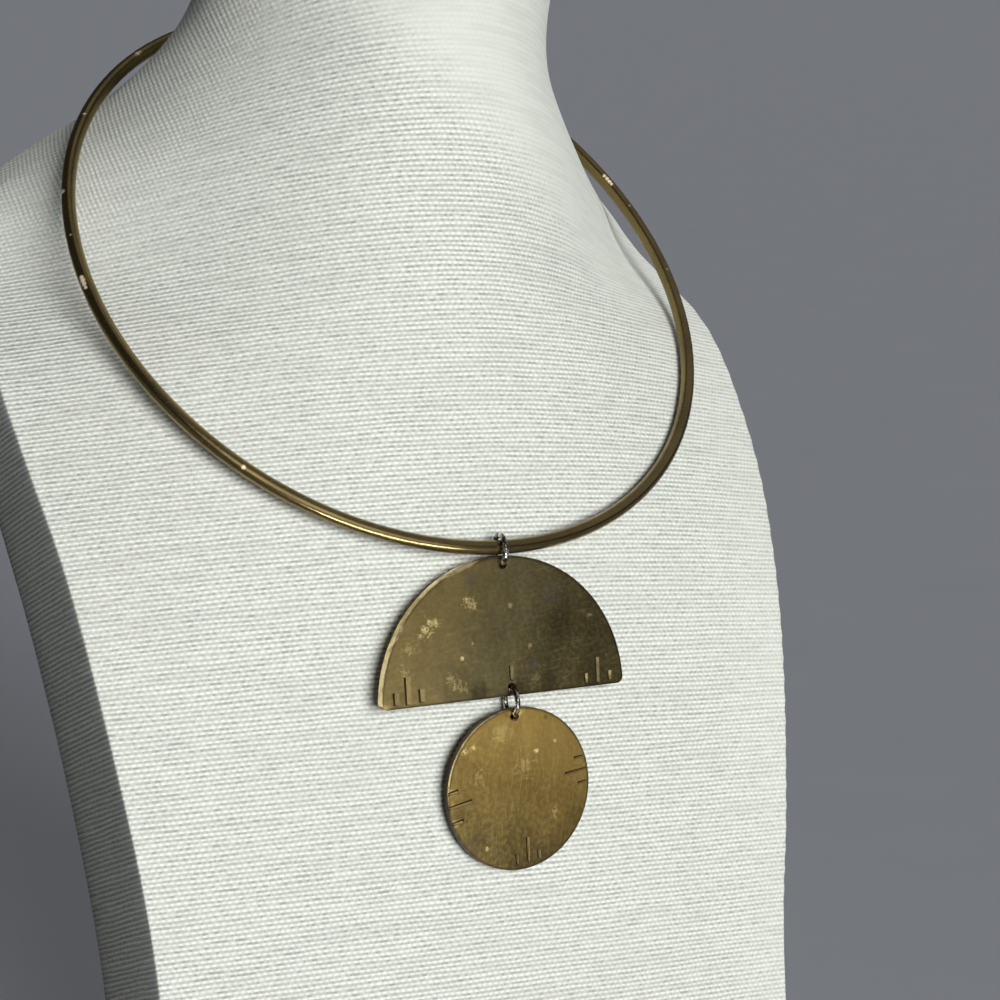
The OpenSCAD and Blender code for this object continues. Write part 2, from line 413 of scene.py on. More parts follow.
def linen():
    """Slubby ribbed linen. Its UV map holds millimetres along a row and a count of rows."""
    material, tree, shader, place = new_material("ribbed linen")
    weave_map = add(tree, "ShaderNodeUVMap", uv_map="weave").outputs[0]
    split = add(tree, "ShaderNodeSeparateXYZ", {0: weave_map}).outputs
    along, across = split[0], split[1]

    # Rows wander a little. Each row has its own thread, and each gap its own loose places
    wander = cloud(tree, moved(tree, weave_map, scale=(0.05, 0.20, 1)), 1.0, detail=2.0)
    row = plus(tree, wander, ROW_WANDER, across)
    row_number = sums(tree, "FLOOR", row)
    gap_number = sums(tree, "ROUND", row)
    slub = along_strand(tree, along, row_number, 0.22, detail=3.0)
    loose = along_strand(tree, along, gap_number, 1.0)

    # Pulled linen shows its warp as cords, and flat linen shows little of its rows
    level = add(tree, "ShaderNodeSeparateXYZ", {0: place}).outputs[2]
    pulled, flat = linen_stretch(tree, along, level)
    close = plus(tree, flat, -FLAT_ROWS_LOST, 1.0)
    rows_seen = times(tree, close, plus(tree, pulled, -PULLED_ROWS_LOST, 1.0))

    # A row is high along its middle, and higher where its thread passes over a warp thread
    wave = sums(tree, "SINE", times(tree, row, math.pi))
    swollen = sums(tree, "POWER", times(tree, wave, wave), spread(tree, slub, *ROW_SHARPNESS))
    drift = cloud(tree, moved(tree, weave_map, scale=(0.07, 0.09, 1)), 1.0, detail=3.0)
    warp = plus(tree, along, math.tau / THREAD_PAIR, times(tree, drift, WARP_DRIFT))
    turn = plus(tree, slub, SLUB_TURN, times(tree, row_number, math.pi))
    over = ripple(tree, sums(tree, "ADD", warp, turn))
    count = reach_along(tree, place, CORDS_PER_MM)
    bent = cloud(tree, place, 0.035, detail=2.0)
    cord = ripple(tree, plus(tree, count, math.tau, times(tree, bent, CORD_BEND)))
    height = times(tree, swollen, plus(tree, over, CROSSING_RELIEF, ROW_RELIEF), rows_seen)
    height = plus(tree, cord, times(tree, pulled, CORD_RELIEF), height)

    # Gaps get painted shade, darker in short stretches where the threads stand apart
    gap_shade_mask = times(tree, spread(tree, swollen, *GAP_SEEN), rows_seen)
    tone = tinted(tree, LINEN_LIGHT, gap_shade_mask, spread(tree, loose, *GAP_DEPTH), LINEN_SHADE_AND_GREY_THREAD)
    # Flat linen gets painted shade, and pulled linen painted light
    tone = tinted(tree, tone, flat, FLAT_SHADE, LINEN_SHADE_AND_GREY_THREAD)
    tone = tinted(tree, tone, pulled, PULLED_LIGHT, LINEN_PAINTED_LIGHT)
    # Painted shade where a thread passes under the warp, and between the cords
    under = times(tree, sums(tree, "SUBTRACT", 1.0, over), close)
    tone = tinted(tree, tone, under, WARP_SHADE, LINEN_SHADE_AND_GREY_THREAD)
    cord_gap_shade = times(tree, sums(tree, "SUBTRACT", 1.0, cord), pulled)
    tone = tinted(tree, tone, cord_gap_shade, CORD_SHADE, LINEN_SHADE_AND_GREY_THREAD)
    # Painted shade in the holes between threads
    hole_shade_mask = times(tree, spread(tree, swollen, *HOLE_SEEN), spread(tree, loose, *HOLE_LOOSE), rows_seen)
    tone = tinted(tree, tone, hole_shade_mask, HOLE_SHADE, LINEN_HOLE_SHADE)
    # Painted highlights on the crowns where a thread passes over the warp
    crown_highlight = times(tree, spread(tree, swollen, *CROWN_SEEN), times(tree, over, close))
    crown_highlight_share = spread(tree, along_strand(tree, along, row_number, 0.9), *CROWN_FULLNESS)
    tone = tinted(tree, tone, crown_highlight, crown_highlight_share, LINEN_PAINTED_LIGHT)
    thread = along_strand(tree, along, sums(tree, "ADD", row_number, 0.5), 0.06)
    tone = blended(tree, spread(tree, thread, *THREAD_GREY), tone, LINEN_SHADE_AND_GREY_THREAD)
    tone = tinted(tree, tone, blotches(tree, place, *LINEN_STAINS), STAIN_SHADE, LINEN_STAIN)
    feed(tree, shader.inputs["Base Color"], tone)

    fibre = cloud(tree, moved(tree, weave_map, scale=(5, 3, 1)), 1.0, detail=2.0)
    bumped(tree, shader, plus(tree, fibre, FIBRE_RELIEF, height), RIB_RELIEF)
    shader.inputs["Roughness"].default_value = 0.92
    shader.inputs["Specular IOR Level"].default_value = 0.20
    shader.inputs["Sheen Weight"].default_value = 0.10
    shader.inputs["Sheen Roughness"].default_value = 0.5
    return material


def ring_place(degrees):
    """A place on the collar's rod in millimetres, by its angle from the front towards the right."""
    low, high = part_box("collar_wire")
    slope = Matrix.Rotation(math.radians(COLLAR_SLOPE), 3, "X")
    dip = Matrix.Rotation(math.radians(COLLAR_DIP), 3, "Y")
    return dip @ slope @ (direction(degrees, 0) * COLLAR_RADIUS) + (low + high) / 2 / MM


# Worn knocks on the rod, also painted highlights: DEGREES from the front towards the right, SIDE of the
# rod that they lie on as a turn from the front towards the right, RADIUS in mm, SPECKLE
ROD_WORN_GLINTS = [
    (215.8, -38, 0.70, 0.9), (216.5, -38, 0.80, 0.7), (217.2, -38, 0.65, 0.9),
    (236.6, -34, 0.60, 0.8), (255.4, -84, 0.75, 0.3), (264.6, -40, 0.42, 0.8),
    (273.4, -58, 0.70, 0.6), (274.0, -58, 0.78, 0.4), (274.7, -58, 0.72, 0.6), (275.4, -58, 0.58, 0.8),
    (315.6, -34, 0.60, 0.6), (91.2, 0, 0.38, 0.6), (106.2, 0, 0.40, 0.6),
    (111.6, -8, 0.62, 1.0), (112.2, -8, 0.70, 0.9), (112.9, -8, 0.74, 0.8), (113.6, -8, 0.64, 1.0),
]

# Their rise on the rod in degrees, and how far they lie from its middle as a share of its thickness
ROD_MARK_RISE = 20
ROD_MARK_REACH = 0.45

# Tones of brass
BRASS_AGED = (0.270, 0.200, 0.086)
BRASS_DARK = (0.100, 0.080, 0.038)
BRASS_GOLD = (0.40, 0.28, 0.11)
# Tones of a plate's worn left rim and of the rod's worn knocks, both painted bright as highlights
BRASS_WORN_RIM_HIGHLIGHT = (0.88, 0.70, 0.38)
BRASS_WORN_GLINT = (1.0, 0.86, 0.56)
BRASS_WORN_RIM_SHEEN = (0.46, 0.34, 0.15)
# The dark tone of tarnish specks and dark patches, also used as painted shade on stroke walls, outlines and
# side walls
DARK_TARNISH_AND_SHADE = (0.030, 0.022, 0.012)

# Blotches on the rod: grain in millimetres, cover and softness, then the share of their tone
ROD_TARNISH = (9.0, 0.50, 0.18)
ROD_TARNISH_SHADE = 0.45
ROD_GRAIN = (1.1, 0.42, 0.14)
ROD_GRAIN_LIGHT = 0.16

# The rod's roughness, what tarnish, worn marks and scratches add to it, the relief of scratches and
# marks, and how much less metallic a mark is, so that it shows bright as a painted highlight from every
# side
ROD_ROUGHNESS = 0.19
ROD_TARNISH_DULL = 0.08
ROD_MARK_DULL = 0.22
ROD_SCRATCH_DULL = 0.08
ROD_SCRATCH_SPACING = 0.5
ROD_SCRATCH_RELIEF = 0.3
ROD_MARK_RELIEF = -0.2
ROD_MARK_LESS_METAL = 0.75
ROD_RELIEF = 0.05 * MM


def aged_rod():
    """Dark olive brass rod, polished by wear, with small bright knocks that are painted highlights as well
    as wear.
    """
    material, tree, shader, place = new_material("aged brass rod")
    tarnish = blotches(tree, place, *ROD_TARNISH)
    tone = tinted(tree, BRASS_AGED, tarnish, ROD_TARNISH_SHADE, BRASS_DARK)
    tone = tinted(tree, tone, blotches(tree, place, *ROD_GRAIN), ROD_GRAIN_LIGHT, BRASS_GOLD)
    wear_and_highlight = 0.0
    reach = ROD_THICKNESS / MM * ROD_MARK_REACH
    for degrees, side, radius, speckle in ROD_WORN_GLINTS:
        middle = ring_place(degrees) + direction(side, ROD_MARK_RISE) * reach
        spot = use(tree, RUBBED_SPOT, Place=place, Middle=middle, Radius=radius, Speckle=speckle)["Mask"]
        wear_and_highlight = sums(tree, "MAXIMUM", wear_and_highlight, spot)
    # The worn knocks are painted bright, as highlights
    feed(tree, shader.inputs["Base Color"], blended(tree, wear_and_highlight, tone, BRASS_WORN_GLINT))
    scratches = use(tree, SCRATCHES, Place=place, Spacing=ROD_SCRATCH_SPACING)
    dull = plus(tree, tarnish, ROD_TARNISH_DULL, ROD_ROUGHNESS)
    dull = plus(tree, wear_and_highlight, ROD_MARK_DULL, dull)
    feed(tree, shader.inputs["Roughness"], plus(tree, scratches["Mask"], ROD_SCRATCH_DULL, dull))
    relief = times(tree, scratches["Height"], ROD_SCRATCH_RELIEF)
    bumped(tree, shader, plus(tree, wear_and_highlight, ROD_MARK_RELIEF, relief), ROD_RELIEF)
    # Less metal in the knocks, so that their painted highlights show from every side
    feed(tree, shader.inputs["Metallic"], plus(tree, wear_and_highlight, -ROD_MARK_LESS_METAL, 1.0))
    return material


# The jump rings' two tones, and their blotches: grain in millimetres, cover and softness, then the
# share of the dark tone
NICKEL_BRIGHT = (0.80, 0.78, 0.72)
NICKEL_DARK = (0.07, 0.052, 0.035)
NICKEL_BLOTCHES = (0.8, 0.52, 0.07)
NICKEL_SHADE = 0.95

# Their roughness, what blotches add to it, and their scratches, dents and relief
NICKEL_ROUGHNESS = 0.08
NICKEL_BLOTCH_DULL = 0.16
NICKEL_SCRATCH_SPACING = 0.2
NICKEL_DENTS = 6.0
NICKEL_RELIEF = 0.02 * MM


def nickel_wire():
    """Nickel-plated ring wire, bright where it is polished and dark in its blotches."""
    material, tree, shader, place = new_material("nickel ring wire")
    dark = blotches(tree, place, *NICKEL_BLOTCHES)
    feed(tree, shader.inputs["Base Color"], tinted(tree, NICKEL_BRIGHT, dark, NICKEL_SHADE, NICKEL_DARK))
    feed(tree, shader.inputs["Roughness"], plus(tree, dark, NICKEL_BLOTCH_DULL, NICKEL_ROUGHNESS))
    scratches = use(tree, SCRATCHES, Place=place, Spacing=NICKEL_SCRATCH_SPACING)
    uneven = cloud(tree, place, 1.1, detail=2.0)
    bumped(tree, shader, plus(tree, uneven, NICKEL_DENTS, scratches["Height"]), NICKEL_RELIEF)
    shader.inputs["Metallic"].default_value = 1.0
    return material


# The plates' own frame in millimetres: X across, Y behind the face, Z up the chest from the half
# disc's straight edge
half_low, half_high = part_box("half_disc")
plate_lean = math.radians(PLATE_LEAN)
plate_origin = Vector((
    (half_low.x + half_high.x) / 2,
    half_low.y,
    half_low.z + PLATE_THICKNESS * math.sin(plate_lean),
))
half_radius = (half_high.x - half_low.x) / 2 / MM
disc_low, disc_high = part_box("round_disc")
disc_radius = (disc_high.x - disc_low.x) / 2 / MM
disc_across = (disc_high.x + disc_low.x) / 2 / MM
disc_middle = Vector((disc_across, PLATE_THICKNESS / MM / 2, -PLATE_GAP - disc_radius))


def half_disc_place(tree, part_place):
    """Millimetres in the half disc's own frame."""
    centred = moved(tree, part_place, location=-plate_origin / MM)
    return moved(tree, centred, rotation=(plate_lean, 0, 0))


def round_disc_place(tree, part_place):
    """Millimetres in the round disc's own frame, with its middle at zero and its face at Y = 0."""
    centred = moved(tree, half_disc_place(tree, part_place), location=-disc_middle)
    level = moved(tree, centred, rotation=(-math.radians(DISC_DIP), 0, 0))
    return moved(tree, level, location=(0, PLATE_THICKNESS / MM / 2, 0))


def inside_arc(tree, place, radius):
    """Millimetres in from an arc of this radius round the frame's zero."""
    flat = moved(tree, place, scale=(1, 0, 1))
    out = add(tree, "ShaderNodeVectorMath", {0: flat}, operation="LENGTH").outputs["Value"]
    return sums(tree, "SUBTRACT", radius, out)


def half_disc_rims(tree, place):
    """Millimetres in from the half disc's arc, and from its whole outline."""
    arc = inside_arc(tree, place, half_radius)
    up = add(tree, "ShaderNodeSeparateXYZ", {0: place}).outputs[2]
    return arc, sums(tree, "MINIMUM", arc, up)


def round_disc_rims(tree, place):
    """Millimetres in from the round disc's outline, twice over."""
    arc = inside_arc(tree, place, disc_radius)
    return arc, arc


# The looks of each plate, in millimetres of its own frame:
# reflection_fade: the direction in which the face darkens, a painted reflection, and where along it that
# starts and ends
# start, middle, end: the face's tones along that painted reflection
# rub, bright_wear_and_highlight, stain_tone: the tones of rubbed places, of bright worn spots and painted
# highlights, and of stained places
# lit_wall: the direction that the lit walls of the strokes face
# dark_wall, bright_wall: the span of that facing over which a wall gets painted shade or a painted
# highlight, and its share
# bright_end: where across the plate the painted highlights on the walls turn faint
# rim_depth: how far behind the face the worn, painted-bright rim reaches
# spots, dark_patches, stains: X, Z, RADIUS, SPECKLE, STRENGTH of each mark
# wide_wear: stretches of wider wear and painted highlight, as where across they start, are full, end
# and are still full, and how much wider they are
# worn_left, worn_up: spans across and up over which the rim's wear and painted highlight come in
# wear: how far in from the rim the wear and painted highlight reach
# grain_turn: the turn of the scratches in degrees
HALF_DISC = {
    "name": "tarnished half disc",
    "place": half_disc_place,
    "rims": half_disc_rims,
    "reflection_fade": ((1, 0, -0.5), -22.0, 9.0),
    "start": (0.262, 0.194, 0.074),
    "middle": (0.166, 0.139, 0.066),
    "end": (0.088, 0.073, 0.032),
    "rub": (0.52, 0.41, 0.17),
    "bright_wear_and_highlight": (0.72, 0.56, 0.25),
    "lit_wall": (-1, 0, 0),
    "dark_wall": (0.10, -0.30, 0.92),
    "bright_wall": (0.05, 0.35, 0.14),
    "bright_end": -12.0,
    "rim_depth": 2.0,
    "stain_tone": (0.120, 0.128, 0.112),
    "spots": [
        (-16.2, 13.6, 1.0, 3.2, 1.0), (-15.2, 14.8, 0.9, 3.0, 1.0), (-13.8, 14.6, 1.0, 3.2, 1.0),
        (-15.6, 13.2, 1.8, 4.8, 0.8), (-14.4, 14.6, 2.0, 5.0, 0.7), (-17.2, 12.4, 0.8, 3.0, 0.8),
        (-7.4, 18.1, 0.9, 3.2, 0.8), (-6.4, 17.2, 1.0, 3.4, 0.8), (-5.8, 16.6, 0.8, 3.0, 0.7),
        (-6.7, 17.6, 2.0, 4.8, 0.6), (1.7, 16.3, 0.8, 2.2, 0.6), (18.5, 13.0, 0.9, 2.8, 0.5),
        (-8.7, 7.7, 0.65, 1.4, 1.0), (-6.4, 10.2, 0.40, 1.2, 0.5), (5.6, 8.7, 0.8, 2.2, 0.6),
        (-11.2, 4.2, 1.6, 4.4, 0.5), (-10.0, 3.0, 2.0, 4.8, 0.4), (-8.6, 2.2, 1.6, 4.6, 0.35),
        (6.6, 2.8, 1.4, 4.2, 0.25), (-19.5, 10.5, 2.4, 4.8, 0.35), (-20.6, 6.5, 2.0, 4.8, 0.25),
    ],
    "dark_patches": [
        (-5.5, 1.0, 3.4, 1.6, 0.55), (2.8, 1.2, 3.2, 1.6, 0.55), (9.5, 1.6, 3.6, 1.6, 0.50),
        (-21.5, 2.2, 2.6, 1.6, 0.30), (17.5, 4.0, 5.0, 1.8, 0.30), (12.0, 12.5, 5.5, 2.2, 0.25),
    ],
    "wide_wear": [(-12.4, -9.5, -4.4, -6.5, 0.55), (-22.6, -21.4, -19.8, -20.6, 0.35)],
    "stains": [(6.3, 5.2, 1.7, 1.4, 0.55), (-6.5, 21.6, 2.2, 1.0, 0.35), (10.5, 18.0, 4.0, 1.6, 0.25)],
    "worn_left": (-4.0, -5.5),
    "worn_up": (-9.0, -8.0),
    "wear": 0.16,
    "grain_turn": 8,
}
ROUND_DISC = {
    "name": "golden round disc",
    "place": round_disc_place,
    "rims": round_disc_rims,
    "reflection_fade": ((0.4, 0, 1), 13.0, -13.0),
    "start": (0.420, 0.277, 0.075),
    "middle": (0.205, 0.134, 0.038),
    "end": (0.092, 0.066, 0.023),
    "rub": (0.60, 0.45, 0.17),
    "bright_wear_and_highlight": (0.90, 0.70, 0.30),
    "lit_wall": (0, 0, 1),
    "dark_wall": (0.45, 0.10, 0.92),
    "bright_wall": (0.15, 0.50, 0.60),
    "bright_end": -3.0,
    "rim_depth": 0.45,
    "stain_tone": (0.060, 0.046, 0.026),
    "spots": [
        (-11.4, 8.0, 1.0, 3.4, 0.5), (-9.6, 8.6, 0.9, 3.2, 0.4), (3.7, 6.6, 0.7, 1.8, 0.8),
        (7.7, 8.0, 0.6, 1.6, 0.5), (-7.0, -10.2, 0.7, 2.4, 0.4), (7.4, -5.2, 1.6, 4.4, 0.25),
        (-3.4, 10.6, 3.4, 2.4, 0.22), (1.0, 4.0, 3.6, 4.8, 0.18), (-8.5, 3.0, 2.4, 4.8, 0.18),
    ],
    "dark_patches": [(0.0, -14.0, 3.6, 1.6, 0.30), (-12.5, -3.5, 2.6, 1.6, 0.30), (12.0, -6.0, 3.4, 1.8, 0.25)],
    "wide_wear": [],
    "stains": [(5.8, 12.6, 0.7, 0.8, 0.45), (-10.0, -9.0, 3.4, 1.2, 0.45), (4.0, -12.8, 4.4, 1.2, 0.35)],
    "worn_left": (-1.0, -4.0),
    "worn_up": (-2.0, 2.0),
    "wear": 0.12,
    "grain_turn": 82,
}

# Blotches on both plates: grain in millimetres, cover and softness, then the share of their tone
PLATE_CLOUDS = (7.5, 0.50, 0.20)
PLATE_CLOUD_SHADE = 0.42
PLATE_GRAIN = (0.9, 0.46, 0.16)
PLATE_GRAIN_LIGHT = 0.16
PLATE_SPECKS = (0.5, 0.36, 0.10)
PLATE_SPECK_SHADE = 0.26
PLATE_SCRATCH_SPACING = 0.45
PLATE_SCRATCH_LIGHT = 0.18

# The strokes, in millimetres: how far behind the face their walls start and end, how far in from
# the outline they start, how far to each side of bright_end the painted highlights on their walls
# turn faint, and the share that is left of them then
STROKE_START = (0.01, 0.08)
STROKE_END = (0.60, 0.50)
STROKE_INSET = (0.05, 0.20)
BRIGHT_FADE = 3
BRIGHT_FAINT = 0.20

# The painted shade of a dark line along a plate's outline and of its dark side wall, and the share of a
# worn rim's depth at which its wear and painted highlight start to fade
RIM_LINE = 0.30
RIM_LINE_SHADE = 0.6
SIDE_WALL = (0.15, 0.05)
SIDE_WALL_SHADE = 0.8
RIM_FADE = 0.6
RIM_RAGGEDNESS = 0.9
RIM_POLISH = (0.40, 0.58)

# The plates' roughness, what clouds add to it and the worn rim takes off it, and their relief.
# Dents have SCALE, DETAIL and HEIGHT
PLATE_ROUGHNESS = 0.36
CLOUD_DULL = 0.10
RIM_GLOSS = 0.12
PLATE_SCRATCH_RELIEF = 0.25
SPOT_RELIEF = -0.6
PLATE_DENTS = ((0.10, 1.0, 9.0), (0.55, 2.0, 1.0))
PLATE_RELIEF = 0.03 * MM


def strongest_mark(tree, place, marks):
    """The mask of a table of marks, all in one."""
    whole = 0.0
    for across, up, radius, speckle, strength in marks:
        middle = (across, 0, up)
        mark = use(tree, RUBBED_SPOT, Place=place, Middle=middle, Radius=radius, Speckle=speckle)["Mask"]
        whole = sums(tree, "MAXIMUM", whole, times(tree, mark, strength))
    return whole


def sheet_metal(plate):
    """Aged brass sheet: mottled tarnish, brushed scratches and rubbed spots, with a painted reflection on
    the face, painted shade and highlights on strokes and outline, and a left rim that is worn and painted
    bright.
    """
    material, tree, shader, part_place = new_material(plate["name"])
    place = plate["place"](tree, part_place)
    across, behind, up = add(tree, "ShaderNodeSeparateXYZ", {0: place}).outputs
    arc, outline = plate["rims"](tree, place)

    # The face's tone fades over the plate from its lighter to its darker side, a painted reflection
    way, start, end = plate["reflection_fade"]
    sockets = {"Value": reach_along(tree, place, way), "From Min": start, "From Max": end}
    far = add(tree, "ShaderNodeMapRange", sockets).outputs[0]
    tone = blended(tree, spread(tree, far, 0.0, 0.5), plate["start"], plate["middle"])
    tone = blended(tree, spread(tree, far, 0.5, 1.0), tone, plate["end"])

    clouds = blotches(tree, place, *PLATE_CLOUDS)
    tone = tinted(tree, tone, clouds, PLATE_CLOUD_SHADE, plate["end"])
    tone = tinted(tree, tone, blotches(tree, place, *PLATE_GRAIN), PLATE_GRAIN_LIGHT, plate["rub"])
    tone = tinted(tree, tone, blotches(tree, place, *PLATE_SPECKS), PLATE_SPECK_SHADE, DARK_TARNISH_AND_SHADE)
    turned = moved(tree, place, rotation=(0, math.radians(plate["grain_turn"]), 0))
    scratches = use(tree, SCRATCHES, Place=turned, Spacing=PLATE_SCRATCH_SPACING)
    tone = tinted(tree, tone, scratches["Mask"], PLATE_SCRATCH_LIGHT, plate["rub"])
    tone = blended(tree, strongest_mark(tree, place, plate["stains"]), tone, plate["stain_tone"])
    # Dark patches, most of them near the lower edges
    tone = blended(tree, strongest_mark(tree, place, plate["dark_patches"]), tone, DARK_TARNISH_AND_SHADE)
    spots = strongest_mark(tree, place, plate["spots"])
    tone = blended(tree, spots, tone, plate["bright_wear_and_highlight"])

    # A stroke's wall that faces away from lit_wall gets painted shade, and the wall that faces it a painted
    # highlight
    in_stroke = times(tree, spread(tree, behind, *STROKE_START), spread(tree, behind, *STROKE_END),
                      spread(tree, outline, *STROKE_INSET))
    facing = add(tree, "ShaderNodeNewGeometry").outputs["True Normal"]
    wall = reach_along(tree, facing, plate["lit_wall"])
    low, high, share = plate["dark_wall"]
    shaded = times(tree, spread(tree, wall, low, high), share)
    tone = tinted(tree, tone, in_stroke, shaded, DARK_TARNISH_AND_SHADE)
    low, high, share = plate["bright_wall"]
    faint, full = plate["bright_end"] + BRIGHT_FADE, plate["bright_end"] - BRIGHT_FADE
    rubbed = times(tree, spread(tree, wall, low, high), share,
                   spread(tree, across, faint, full, BRIGHT_FAINT, 1.0))
    tone = tinted(tree, tone, in_stroke, rubbed, plate["bright_wear_and_highlight"])
    # A line of painted shade along the outline
    outline_shade = spread(tree, outline, RIM_LINE * 2, RIM_LINE * 0.5)
    tone = tinted(tree, tone, outline_shade, RIM_LINE_SHADE, DARK_TARNISH_AND_SHADE)

    # The left rim is painted bright, side wall and all: worn metal and a painted highlight
    width = plate["wear"]
    for start, full, end, still_full, more in plate["wide_wear"]:
        here = times(tree, spread(tree, across, start, full), spread(tree, across, end, still_full))
        width = plus(tree, here, more, width)
    wear_and_highlight = use(tree, RIM_WEAR, Distance=arc, Place=place, Width=width, Raggedness=RIM_RAGGEDNESS)["Mask"]
    depth = plate["rim_depth"]
    worn_lit_rim = times(tree, wear_and_highlight, spread(tree, across, *plate["worn_left"]),
                   spread(tree, up, *plate["worn_up"]), spread(tree, behind, depth, depth * RIM_FADE))
    # Painted shade on the side wall behind the bright rim
    side_wall_shade = times(tree, spread(tree, behind, depth * RIM_FADE, depth),
                      spread(tree, outline, *SIDE_WALL))
    tone = tinted(tree, tone, side_wall_shade, SIDE_WALL_SHADE, DARK_TARNISH_AND_SHADE)
    polish = cloud(tree, place, 0.35, detail=3.0, roughness=0.6)
    rim_tone = blended(tree, spread(tree, polish, *RIM_POLISH), BRASS_WORN_RIM_SHEEN, BRASS_WORN_RIM_HIGHLIGHT)
    feed(tree, shader.inputs["Base Color"], blended(tree, worn_lit_rim, tone, rim_tone))

    dull = plus(tree, clouds, CLOUD_DULL, PLATE_ROUGHNESS)
    feed(tree, shader.inputs["Roughness"], plus(tree, worn_lit_rim, -RIM_GLOSS, dull))
    relief = plus(tree, scratches["Height"], PLATE_SCRATCH_RELIEF, times(tree, spots, SPOT_RELIEF))
    for scale, detail, height in PLATE_DENTS:
        relief = plus(tree, cloud(tree, place, scale, detail), height, relief)
    bumped(tree, shader, relief, PLATE_RELIEF)
    shader.inputs["Metallic"].default_value = 1.0
    return material


# Pieces

# A face counts as the bust's flat top or foot when its normal is this upright
FLAT_END_NORMAL = 0.97

# How far below the top and above the foot the linen is uneven, the PACE per metre and HEIGHT in
# millimetres of its two waves, and how many millimetres inside the bust's own skin it lies
EASE_TOP = 6 * MM
EASE_FOOT = 3 * MM
EASE_WAVES = ((45, 0.10), (110, 0.04))
EASE_INWARD = 0.10

BEVEL_SEGMENTS = 4
BEVEL_ANGLE = 40
SMOOTH_ANGLE = 28


def give_weave_map(piece):
    """Writes the weave map: millimetres round each level from the front's middle, and rows by height."""
    mesh = piece.data
    levels = {}
    for vertex in mesh.vertices:
        levels.setdefault(round(vertex.co.z / MM, 2), []).append(vertex)
    along = {}
    girth = {}
    for level, ring in levels.items():
        ring.sort(key=lambda vertex: math.atan2(vertex.co.x, -vertex.co.y))
        front = min(range(len(ring)), key=lambda k: abs(math.atan2(ring[k].co.x, -ring[k].co.y)))
        reach = 0.0
        for k, vertex in enumerate(ring):
            if k:
                reach += (vertex.co - ring[k - 1].co).length
            along[vertex.index] = reach
        start = along[ring[front].index]
        girth[level] = (reach + (ring[0].co - ring[-1].co).length) / MM
        for vertex in ring:
            along[vertex.index] = (along[vertex.index] - start) / MM
    weave = mesh.uv_layers.get("weave") or mesh.uv_layers.new(name="weave")
    for face in mesh.polygons:
        values = [along[mesh.loops[k].vertex_index] for k in face.loop_indices]
        for k, value in zip(face.loop_indices, values):
            vertex = mesh.vertices[mesh.loops[k].vertex_index]
            whole = girth[round(vertex.co.z / MM, 2)]
            if max(values) - value > whole / 2:
                value += whole
            weave.data[k].uv = (value, ROWS_PER_MM.dot(vertex.co) / MM)


def square_up_weave_map(piece):
    """Counts the rows again on the finished skin, and runs them straight over its flat ends."""
    mesh = piece.data
    weave = mesh.uv_layers["weave"]
    for face in mesh.polygons:
        flat_end = abs(face.normal.z) > FLAT_END_NORMAL
        for k in face.loop_indices:
            point = mesh.vertices[mesh.loops[k].vertex_index].co / MM
            if flat_end:
                weave.data[k].uv = (point.x, point.y * ROWS_PER_MM.z)
            else:
                weave.data[k].uv[1] = ROWS_PER_MM.dot(point)


def ease_linen(piece):
    """The linen lies a little uneven over the padding under it."""
    mesh = piece.data
    normals = [vertex.normal.copy() for vertex in mesh.vertices]
    for vertex, normal in zip(mesh.vertices, normals):
        if EASE_FOOT < vertex.co.z < cad_high.z - EASE_TOP:
            swell = sum(noise.noise(vertex.co * pace) * height for pace, height in EASE_WAVES)
            vertex.co += normal * (swell - EASE_INWARD) * MM
    mesh.update()


def make_linen_cover():
    """The bust's stretched linen skin."""
    cover = copy_of("bust", "linen_cover")
    for layer in list(cover.data.uv_layers):
        cover.data.uv_layers.remove(layer)
    give_weave_map(cover)
    finish_with(cover, "SUBSURF", levels=2, render_levels=2, uv_smooth="NONE")
    ease_linen(cover)
    square_up_weave_map(cover)
    alone(cover)
    bpy.ops.object.shade_smooth()
    put_on(cover, linen(), "bust")


def make_plate(node, name, material):
    """A sheet plate with softened edges round its outline, its holes and its strokes."""
    plate = copy_of(node, name)
    finish_with(plate, "BEVEL", width=PLATE_EDGE_ROUND, segments=BEVEL_SEGMENTS, limit_method="ANGLE",
                angle_limit=math.radians(BEVEL_ANGLE), use_clamp_overlap=True)
    alone(plate)
    bpy.ops.object.shade_smooth_by_angle(angle=math.radians(SMOOTH_ANGLE))
    finish_with(plate, "WEIGHTED_NORMAL", keep_sharp=True)
    put_on(plate, material, node)


def finish_node(node, material):
    """A CAD node that keeps its shape gets its material."""
    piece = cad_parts[node]
    piece.data.materials.clear()
    piece.data.materials.append(material)


# Stage

FLOOR_SIZE = 160
FLOOR_DROP = 0.2 * MM
FLOOR_DARK = (0.35, 0.367, 0.405)
FLOOR_PALE = (0.378, 0.395, 0.433)
BACKDROP_TONE = (0.95, 0.97, 1.0, 1)
BACKDROP_STRENGTH = 0.055

# Soft lights far away: NAME, TURN from the front towards the right, RISE and SPREAD in degrees,
# STRENGTH, and the property that keeps it from one kind of ray. The key light and the side light
# make no gleam on metal, and the glows make nothing but such gleams
FAR_LIGHTS = [
    ("key light", -2, 10, 36, 4.05, "visible_glossy"),
    ("key glow", -8, 10, 60, 1.1, "visible_diffuse"),
    ("side light", 140, 32, 44, 1.0, "visible_glossy"),
    ("ceiling glow", 75, 58, 84, 0.34, "visible_diffuse"),
]


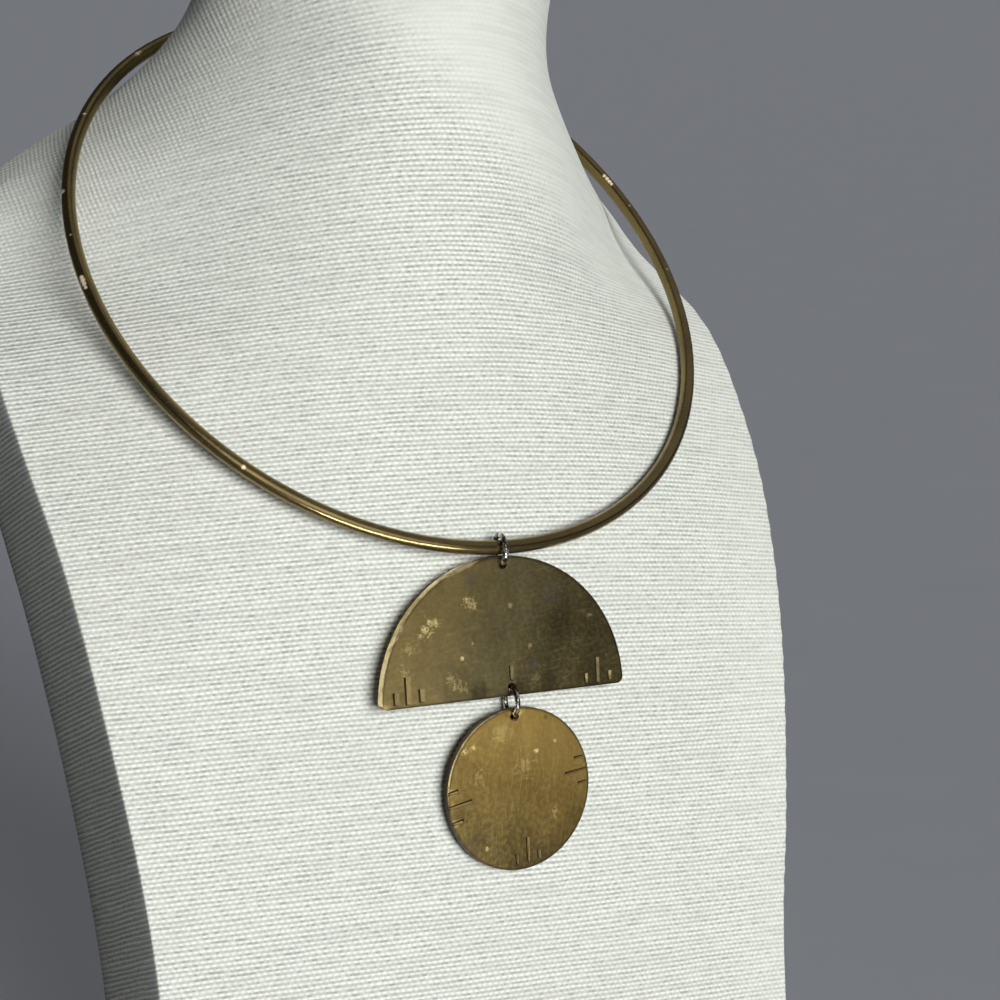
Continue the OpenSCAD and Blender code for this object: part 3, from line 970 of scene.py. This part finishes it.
def make_floor():
    """A plain pale floor, wide enough to fill every view."""
    bpy.ops.object.select_all(action="DESELECT")
    bpy.ops.mesh.primitive_plane_add(size=FLOOR_SIZE, location=(0, 0, -FLOOR_DROP))
    floor = bpy.context.object
    floor.name = "floor"
    material, tree, shader, place = new_material("pale floor")
    tone = blended(tree, cloud(tree, place, 0.02, detail=3.0), FLOOR_DARK, FLOOR_PALE)
    feed(tree, shader.inputs["Base Color"], tone)
    shader.inputs["Roughness"].default_value = 0.9
    floor.data.materials.append(material)
    bpy.ops.object.transform_apply(location=True, rotation=False, scale=False)
    floor.visible_diffuse = False


def add_light(name, data):
    """Puts one light on the stage, out of the camera's own sight."""
    light = bpy.data.objects.new(name, data)
    bpy.context.scene.collection.objects.link(light)
    light.visible_camera = False
    return light


def make_far_light(name, turn, rise, spread_over, strength, kept_from):
    """One row of the table of far lights."""
    data = bpy.data.lights.new(name, "SUN")
    data.angle = math.radians(spread_over)
    data.energy = strength
    light = add_light(name, data)
    light.rotation_euler = direction(turn, rise).to_track_quat("Z", "Y").to_euler()
    setattr(light, kept_from, False)


def make_card(name, place, aim, size, power):
    """A white card near the metal, which shows only as a gleam on it. All lengths are in metres."""
    data = bpy.data.lights.new(name, "AREA")
    data.shape = "RECTANGLE"
    data.size, data.size_y = size
    data.energy = power
    card = add_light(name, data)
    card.location = place
    card.rotation_euler = (Vector(aim) - Vector(place)).to_track_quat("-Z", "Y").to_euler()
    card.visible_diffuse = False


def light_stage():
    """Soft light from the front and the side, gleams on the metal, and a low fill all round."""
    for row in FAR_LIGHTS:
        make_far_light(*row)
    make_card("gleam card", place=(-0.03, -0.20, 0.03), aim=(0, -0.04, 0.118), size=(0.16, 0.03),
              power=0.32)
    world = bpy.data.worlds.new("studio")
    world.use_nodes = True
    backdrop = world.node_tree.nodes["Background"]
    backdrop.inputs["Color"].default_value = BACKDROP_TONE
    backdrop.inputs["Strength"].default_value = BACKDROP_STRENGTH
    bpy.context.scene.world = world
    bpy.context.scene.view_settings.view_transform = "Standard"


def place_camera():
    """The camera at the photograph's own place and angle."""
    turn, dip, roll = (math.radians(degrees) for degrees in (CAMERA_TURN, CAMERA_DIP, CAMERA_ROLL))
    ahead = Vector((math.sin(turn) * math.cos(dip), math.cos(turn) * math.cos(dip), -math.sin(dip)))
    level = Vector((math.cos(turn), -math.sin(turn), 0))
    right = level * math.cos(roll) + level.cross(ahead) * math.sin(roll)
    upward = right.cross(ahead)
    data = bpy.data.cameras.new("camera")
    data.lens = CAMERA_LENS
    data.sensor_width = CAMERA_SENSOR
    camera = bpy.data.objects.new("camera", data)
    bpy.context.scene.collection.objects.link(camera)
    axes = Matrix((right, upward, -ahead)).transposed().to_4x4()
    camera.matrix_world = Matrix.Translation(CAMERA_PLACE) @ axes
    bpy.context.scene.camera = camera


make_linen_cover()
make_plate("half_disc", "half_disc_plate", sheet_metal(HALF_DISC))
make_plate("round_disc", "round_disc_plate", sheet_metal(ROUND_DISC))
rod_material = aged_rod()
finish_node("collar_wire", rod_material)
finish_node("clasp_barrel", rod_material)
ring_material = nickel_wire()
finish_node("upper_ring", ring_material)
finish_node("lower_ring", ring_material)
make_floor()
light_stage()
place_camera()
